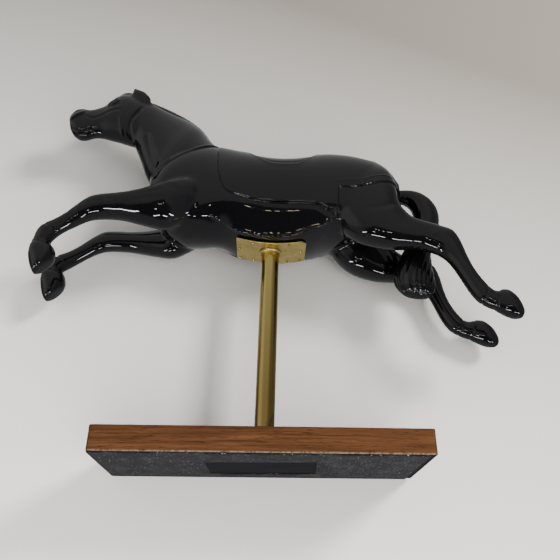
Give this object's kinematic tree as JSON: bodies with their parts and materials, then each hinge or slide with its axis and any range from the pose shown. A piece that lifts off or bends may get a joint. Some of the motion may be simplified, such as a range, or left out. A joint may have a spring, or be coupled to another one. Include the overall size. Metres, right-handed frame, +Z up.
{
  "type": "table-top carousel horse on a stand",
  "caption": "Black lacquered galloping carousel horse held by a brass rod on a felt-backed wooden board.",
  "frame": {"origin": "centre of the whole part's footprint, at the underside of the felt", "axes": "+Z up, -X towards the horse's head, +Y to the horse's right side"},
  "size_m": [0.4213, 0.0918, 0.3805],
  "materials": {
    "lacquer": "black gloss lacquer over carved wood",
    "brass": "aged polished brass",
    "board_wood": "oiled red-brown hardwood",
    "felt": "charcoal felt"
  },
  "bodies": {
    "root": {"horse": "lacquer", "belly_plate": "brass", "rod": "brass", "rod_collar": "brass", "wood_base": "board_wood", "felt_pad": "felt", "plate_pin_1": "brass", "plate_pin_2": "brass", "plate_pin_3": "brass", "plate_pin_4": "brass", "plate_pin_5": "brass", "plate_pin_6": "brass", "plate_pin_7": "brass", "plate_pin_8": "brass", "plate_pin_9": "brass", "plate_pin_10": "brass"}
  },
  "joints": []
}
